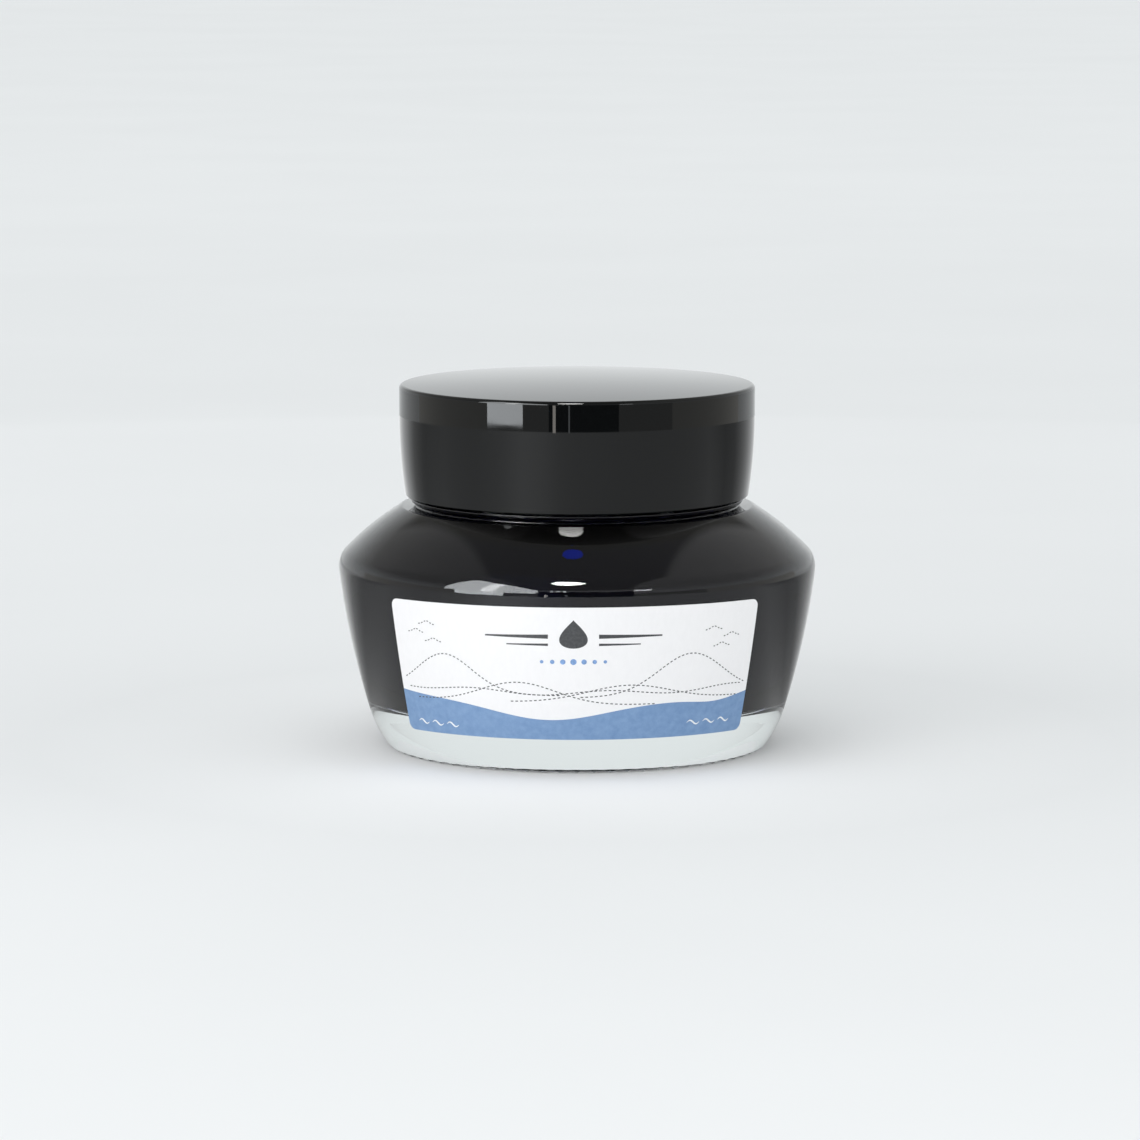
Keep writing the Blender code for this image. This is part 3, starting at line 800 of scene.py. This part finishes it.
def glass():
    """Clear moulded glass, very slightly wavy. The ring under the cap is tinted blue-black, a painted tint
    that stands in for blue light coming through the ink.
    """
    made = Finish("moulded_glass")
    flat = made.fed("VectorMath", made.place(), (1.0, 1.0, 0.0), operation="MULTIPLY")
    radius = made.add("VectorMath", operation="LENGTH")
    made.put(flat, radius.inputs[0])
    outside = made.ramp(radius.outputs["Value"], 0.0, 1.0, LEDGE_R - 2.4 * MM, LEDGE_R - 1.9 * MM)
    height = made.split(made.place())["Z"]
    above = made.ramp(height, 0.0, 1.0, LEDGE_FOOT_Z + 0.02 * MM, LEDGE_FOOT_Z + 0.14 * MM)
    # painted light: the ring's blue-black tint stands in for blue light coming through the ink, not a stain in
    # the glass
    painted_ring_tint = made.fed("Math", outside, above, operation="MULTIPLY")
    made.set(
        Base_Color=made.colours(painted_ring_tint, (0.965, 0.985, 0.98), (0.006, 0.006, 0.05), 0.0, 1.0),
        Roughness=made.ramp(made.noise(45.0), 0.0, 0.015),
        Transmission_Weight=1.0,
        IOR=1.5,
    )
    made.bump(made.noise(70.0, 1.0), 0.012 * MM, 0.6)
    return made.owner


def ink_look():
    """Blue-black ink: black in depth; in the neck its colour is painted deep blue, a painted glow for the
    light that comes through the thin ink there. Ink bends light less than glass does, so its boundary with the
    glass floor is a mirror at a glancing angle."""
    made = Finish("blue_black_ink")
    height = made.split(made.place())["Z"]
    # painted glow: the ink's colour runs to deep blue up the neck, standing in for light coming through the
    # thin ink
    ink_and_painted_glow = made.colours(height, (0.0012, 0.0012, 0.0014), (0.0028, 0.0018, 0.028), 32.5 * MM, 35.5 * MM)
    facing = made.add("LayerWeight")
    made.put(0.5, facing.inputs["Blend"])
    glancing = made.ramp(facing.outputs["Facing"], 0.0, 1.0, 0.49, 0.545)
    below = made.ramp(height, 1.0, 0.0, FLOOR_Z + 0.25 * MM, FLOOR_Z + 0.55 * MM)
    mirror = made.fed("Math", glancing, below, operation="MULTIPLY")
    made.set(
        Base_Color=made.mix(mirror, ink_and_painted_glow, (0.97, 0.98, 0.98)),
        Metallic=mirror,
        Specular_Tint=made.colours(mirror, (0.10, 0.15, 1.0), (1.0, 1.0, 1.0), 0.0, 1.0),
        Roughness=made.ramp(made.noise(120.0), 0.01, 0.025),
        IOR=1.33,
        Specular_IOR_Level=0.06,
    )
    return made.owner


def natural_plastic():
    """Unpigmented polypropylene: milky, lets light through, with a fine moulded grain."""
    made = Finish("natural_polypropylene")
    made.set(
        Base_Color=made.colours(made.noise(260.0), (0.80, 0.82, 0.80), (0.88, 0.89, 0.88)),
        Roughness=made.ramp(made.noise(900.0), 0.32, 0.46),
        Transmission_Weight=0.55,
        IOR=1.49,
    )
    made.bump(made.noise(1500.0), 0.01 * MM, 0.5)
    return made.owner


def foam():
    """White foam with small closed cells."""
    made = Finish("closed_cell_foam")
    voronoi = made.add("TexVoronoi")
    made.put(4200.0, voronoi.inputs["Scale"])
    made.put(made.place(), voronoi.inputs["Vector"])
    cells = voronoi.outputs["Distance"]
    made.set(
        Base_Color=made.colours(cells, (0.70, 0.70, 0.67), (0.90, 0.90, 0.88), 0.0, 0.5),
        Roughness=made.ramp(made.noise(800.0), 0.6, 0.8),
    )
    made.bump(cells, 0.05 * MM, 0.7)
    return made.owner


def gloss_black():
    """Polished black plastic with the faint unevenness of a moulding and a little dust."""
    made = Finish("polished_black_plastic")
    dust = made.noise(6000.0, 2.0)
    made.set(
        Base_Color=made.colours(dust, (0.0022, 0.0026, 0.0028), (0.012, 0.012, 0.012), 0.68, 0.8),
        Roughness=made.ramp(made.noise(160.0), 0.012, 0.03),
        IOR=1.39,
    )
    made.bump(made.noise(90.0, 1.0), 0.003 * MM, 0.4)
    return made.owner


def satin_black():
    """Spark-eroded black plastic, dull and finely grained."""
    made = Finish("satin_black_plastic")
    made.set(
        Base_Color=made.colours(made.noise(2600.0), (0.010, 0.010, 0.011), (0.022, 0.022, 0.023)),
        Roughness=made.ramp(made.noise(1800.0), 0.3, 0.5),
    )
    made.bump(made.noise(2400.0), 0.02 * MM, 0.6)
    return made.owner


def paper():
    """Smooth coated paper with barely visible fibres."""
    made = Finish("label_paper")
    stretch = made.add("Mapping")
    made.put((1.0, 1.0, 0.35), stretch.inputs["Scale"])
    made.put(made.place(), stretch.inputs["Vector"])
    fibres = made.noise(1800.0, 5.0, 0.65, stretch.outputs["Vector"])
    made.set(
        Base_Color=made.colours(fibres, (0.925, 0.905, 0.915), (0.945, 0.925, 0.935)),
        Roughness=made.ramp(made.noise(500.0), 0.42, 0.55),
    )
    made.bump(fibres, 0.005 * MM, 0.4)
    return made.owner


def band_print():
    """The label's blue, a little mottled, as a flat ink on paper is."""
    made = Finish("blue_band_print")
    mottle = made.noise(900.0, 4.0, 0.7)
    made.set(
        Base_Color=made.colours(mottle, (0.150, 0.275, 0.500), (0.215, 0.350, 0.580), 0.3, 0.7),
        Roughness=made.ramp(made.noise(500.0), 0.45, 0.6),
    )
    made.bump(mottle, 0.006 * MM, 0.6)
    return made.owner


def printing(name, colour):
    """A printed line's ink, lighter in specks."""
    made = Finish(name)
    lighter = tuple(min(1.0, c * 1.45 + 0.01) for c in colour)
    made.set(
        Base_Color=made.colours(made.noise(3000.0), colour, lighter, 0.4, 0.75),
        Roughness=made.ramp(made.noise(900.0), 0.45, 0.6),
    )
    return made.owner


# ---------------------------------------------------------------- studio

CAMERA_DISTANCE, CAMERA_HEIGHT = 781 * MM, 133 * MM
AIM = Vector((-1.03 * MM, 0.0, 25.4 * MM))
LENS = 169.6
FLOOR_ALBEDO = 0.80
ROOM_LIGHT = (0.876, 0.922, 0.924)  # what the room around sheds on everything, beside the window
BACKDROP = (0.79, 0.83, 0.835)  # the pale backdrop, seen through the glass
BACK_GLOW, FRONT_GLOW, THROUGH_GLOW = 0.08, 0.06, 0.09
CARD_R, DOME_R = 445 * MM, 1.6
WINDOW_STEEPEST = 1.45


def emission(name, colour, strength, toned=False):
    """A glow. Where toned, its strength follows the mesh's own tone from point to point."""
    made = Tree(bpy.data.materials.new(name))
    made.tree.nodes.clear()
    if toned:
        strength = made.add("Attribute", attribute_name="tone").outputs["Fac"]
    made.put(made.fed("Emission", colour, strength), made.add("OutputMaterial").inputs["Surface"])
    return made.owner


def floor():
    """A pale floor. The window's light falls off behind the bottle, and a faint glow makes up for it there,
    as the bright backdrop's own light does. The floor is also a little brighter in front, and close round
    the bottle, where the thick glass throws light on it."""
    bpy.ops.mesh.primitive_grid_add(x_subdivisions=8, y_subdivisions=8, size=8.0)
    obj = bpy.context.object
    obj.name = "floor"
    made = Finish("floor_paper")
    low, high = FLOOR_ALBEDO - 0.006, FLOOR_ALBEDO + 0.006
    along = made.split(made.place())["Y"]
    distance = made.add("VectorMath", operation="LENGTH")
    made.put(made.place(), distance.inputs[0])
    back = made.ramp(along, 0.0, BACK_GLOW, 0.0, 1.2)
    front = made.ramp(along, FRONT_GLOW, 0.0, -0.25, 0.0)
    through = made.ramp(distance.outputs["Value"], THROUGH_GLOW, 0.0, 36 * MM, 80 * MM)
    glow = made.fed("Math", back, front, operation="ADD")
    made.set(
        Base_Color=made.colours(made.noise(9.0), (low, low - 0.01, low), (high, high - 0.01, high)),
        Emission_Color=(0.985, 1.0, 1.0),
        Emission_Strength=made.fed("Math", glow, through, operation="ADD"),
        Roughness=0.85,
        Specular_IOR_Level=0.1,
    )
    obj.data.materials.append(made.owner)
    return obj


def on_dome(azimuth, elevation, radius):
    """A point round the bottle. Azimuth 0 is towards the camera and grows to the right."""
    turn, lift = math.radians(azimuth), math.radians(elevation)
    level = radius * math.cos(lift)
    return (level * math.sin(turn), -level * math.cos(turn), radius * math.sin(lift))


def reflected_only(obj, finish):
    """Stage a card or lamp that only reflections see."""
    obj.data.materials.append(finish)
    for kind in ("camera", "diffuse", "transmission", "volume_scatter", "shadow"):
        setattr(obj, "visible_" + kind, False)
    return obj


def sheet(name, place, across, up, finish, tone=None):
    """A card bent over a grid of places, place(u, v) with u and v from 0 to 1. Only reflections see it.
    tone(u, v) may give the glow at each point."""
    grid = [(i / across, j / up) for i in range(across + 1) for j in range(up + 1)]
    faces = []
    for i in range(across):
        for j in range(up):
            corner = i * (up + 1) + j
            faces.append((corner, corner + up + 1, corner + up + 2, corner + 1))
    obj = mesh_object(name, [place(u, v) for u, v in grid], faces)
    if tone:
        values = obj.data.attributes.new("tone", "FLOAT", "POINT")
        for value, (u, v) in zip(values.data, grid):
            value.value = tone(u, v)
    return reflected_only(obj, finish)


def between(stops, at):
    """A number read from a short list of (place, number) stops, straight from one to the next."""
    places, numbers = zip(*stops)
    return float(np.interp(at, places, numbers))


def card(name, start, end, low, high, radius, finish):
    """An upright card round the bottle, between two azimuths in degrees and two heights."""

    def place(u, v):
        x, y, _ = on_dome(start + (end - start) * u, 0.0, radius)
        return (x, y, low + (high - low) * v)

    return sheet(name, place, max(2, round(abs(end - start) / 4)), 1, finish)


def patch(name, azimuths, elevations, finish, radius=DOME_R, steepest=None):
    """A piece of a large dome, between two azimuths and two elevations in degrees. With steepest, its top
    edge is the straight top of a window in the side wall, which looks lower towards the front."""

    def place(u, v):
        azimuth = azimuths[0] + (azimuths[1] - azimuths[0]) * u
        high = elevations[1]
        if steepest:
            high = min(high, math.degrees(math.atan(steepest * abs(math.sin(math.radians(azimuth))))))
        return on_dome(azimuth, elevations[0] + (high - elevations[0]) * v, radius)

    return sheet(name, place, 16, 8, finish)


def table_sheen():
    """The table as the cap and the flank mirror it: brighter where it mirrors the window itself, and darker
    behind the bottle's sides. It lies just above the floor, and only reflections see it."""
    near, far = 40 * MM, CARD_R
    stops = ((-180, 1.1), (-156, 1.1), (-139, 0.9), (-128, 0.5), (-114, 0.36), (-92, 0.7))
    stops += ((-66, 0.8), (-50, 0.98), (-34, 1.36), (-22, 1.22), (-10, 0.92), (0, 0.84), (30, 0.76))
    stops += ((92, 0.7), (108, 0.36), (120, 0.32), (136, 0.6), (149, 0.85), (180, 1.1))

    def place(u, v):
        x, y, _ = on_dome(-180 + 360 * u, 0.0, near + (far - near) * v)
        return (x, y, 0.3 * MM)

    def tone(u, v):
        return between(stops, -180 + 360 * u)

    finish = emission("table_sheen", (0.98, 1.0, 1.01), 1.0, True)
    return sheet("table_sheen", place, 90, 24, finish, tone)


def lamp_disc(name, middle, radius, stretch, finish):
    """A round lamp that faces the bottle, stretched upwards. Only reflections see it."""
    away = Vector(middle).normalized()
    side = away.cross(Vector((0.0, 0.0, 1.0))).normalized()
    up = side.cross(away)
    vertices, faces = [Vector(middle)], []
    for i in range(48):
        turn = 2 * math.pi * i / 48
        vertices.append(Vector(middle) + (side * math.cos(turn) + up * math.sin(turn) * stretch) * radius)
        faces.append((0, 1 + i, 1 + (i + 1) % 48))
    return reflected_only(mesh_object(name, vertices, faces), finish)


def window_light(azimuth, elevation, distance, width, height, radiance):
    """The window as a light. Reflections see the window's patch of the dome in its place."""
    light = bpy.data.lights.new("window_light", "AREA")
    light.shape = "RECTANGLE"
    light.size, light.size_y = width, height
    light.energy = radiance * math.pi * width * height
    obj = bpy.data.objects.new("window_light", light)
    bpy.context.scene.collection.objects.link(obj)
    obj.location = on_dome(azimuth, elevation, distance)
    obj.rotation_euler = (-obj.location).to_track_quat("-Z", "Y").to_euler()
    obj.visible_glossy = False
    obj.visible_camera = False
    return obj


def world():
    """A pale studio. Matt surfaces get an even light from it. Reflections see a room that is brightest low
    down and dimmer above, with a dark strip of ceiling over the bottle."""
    made = Tree(bpy.data.worlds.new("studio"))
    made.tree.nodes.clear()
    rays = made.add("LightPath").outputs
    direction = made.split(made.add("TexCoord").outputs["Generated"])
    up, across = direction["Z"], direction["X"]
    low = made.colours(up, (0.96, 0.99, 1.0), (0.82, 0.85, 0.86), 0.08, 0.24)
    sides = made.colours(across, (0.45, 0.45, 0.44), (0.58, 0.58, 0.57), -0.2, 0.2)
    walls = made.colours(up, low, sides, 0.24, 0.47)
    aside = made.fed("Math", across, operation="ABSOLUTE")
    over, level = made.ramp(up, 0.0, 1.0, 0.42, 0.5), made.ramp(aside, 1.0, 0.0, 0.39, 0.43)
    room = made.mix(made.fed("Math", level, over, operation="MULTIPLY"), walls, (0.235, 0.235, 0.225))
    chosen = made.fed("Background", ROOM_LIGHT)
    for kind, colour in (("Glossy", room), ("Transmission", BACKDROP), ("Camera", BACKDROP)):
        chosen = made.fed("MixShader", rays[f"Is {kind} Ray"], chosen, made.fed("Background", colour))
    made.put(chosen, made.add("OutputWorld").inputs["Surface"])
    bpy.context.scene.world = made.owner


def camera():
    """A long lens, a little above the bottle."""
    data = bpy.data.cameras.new("camera")
    data.lens = LENS
    data.sensor_width = 36.0
    obj = bpy.data.objects.new("camera", data)
    bpy.context.scene.collection.objects.link(obj)
    obj.location = (0.0, -CAMERA_DISTANCE, CAMERA_HEIGHT)
    obj.rotation_mode = "QUATERNION"
    obj.rotation_quaternion = (AIM - obj.location).to_track_quat("-Z", "Y")
    bpy.context.scene.camera = obj


def studio():
    """Camera, light and floor, and the cards and lamps that the cap and the glass mirror."""
    camera()
    world()
    floor()
    table_sheen()
    window_light(-32, 36, 1.5, 1.24, 1.09, 1.25)
    olive = emission("olive_wall", (1.0, 0.99, 0.94), 0.72)
    shade = emission("shaded_wall", (1.0, 1.0, 0.98), 0.50)
    dark = emission("dark_room", (0.95, 0.97, 1.0), 0.06)
    right = emission("right_wall", (1.0, 1.0, 0.98), 0.45)
    window = emission("window_low", (0.93, 0.97, 1.0), 10.0)
    low, high = -5 * MM, 100 * MM
    card("olive_wall", -120, -58, low, high, CARD_R, olive)
    card("window_low", -58, -34, 3 * MM, high, CARD_R, window)
    card("window_sill", -58, -34, low, 3 * MM, CARD_R, shade)
    card("shaded_wall", -34, -17.5, low, high, CARD_R, shade)
    card("dark_room", -17.5, 26, low, 170 * MM, CARD_R, dark)
    card("right_wall", 26, 62, low, high, CARD_R, right)
    card("far_right_wall", 62, 125, low, high, CARD_R, olive)
    warm = emission("warm_strip", (1.0, 0.95, 0.88), 5.4)
    faint = emission("faint_strip", (0.9, 0.96, 1.0), 1.8)
    card("warm_strip", -15.0, -13.2, low, 60 * MM, CARD_R - 5 * MM, warm)
    card("faint_strip", -5.3, -4.4, low, 60 * MM, CARD_R - 5 * MM, faint)
    pane = emission("window_high", (0.95, 0.98, 1.0), 8.3)
    bar = emission("window_bar", (0.97, 0.99, 1.0), 16.0)
    patch("window_high", (-66, -19), (6, 75), pane, DOME_R, WINDOW_STEEPEST)
    patch("window_bar", (-47, -40), (6, 75), bar, DOME_R - 0.02, WINDOW_STEEPEST)
    spot = emission("spot", (0.95, 0.98, 1.0), 10.0)
    patch("right_spot", (28, 37), (20, 25), spot)
    for name, start in (("left_spot_a", -13.0), ("left_spot_b", -10.0), ("left_spot_c", -7.0)):
        patch(name, (start, start + 1.6), (20, 24), spot)
    lamp, blue = emission("round_lamp", (1.0, 1.0, 0.98), 45.0), emission("blue_glow", (0.06, 0.1, 1.0), 2.6)
    lamp_disc("round_lamp", (-0.075, -0.715, 1.155), 0.148, 1.35, lamp)
    lamp_disc("blue_glow", (-0.025, 0.06, 1.3), 0.06, 1.0, blue)


def main():
    glass_piece = build_glass()
    glass_piece.data.materials.append(glass())
    ink_finish = ink_look()
    for piece in build_ink():
        piece.data.materials.append(ink_finish)
    reservoir = build_reservoir()
    reservoir.data.materials.clear()
    reservoir.data.materials.append(natural_plastic())
    build_liner().data.materials.append(foam())
    build_shell().data.materials.append(gloss_black())
    build_inner().data.materials.append(satin_black())
    build_label()
    build_print()
    studio()
    bpy.context.scene.view_settings.view_transform = "Standard"


main()
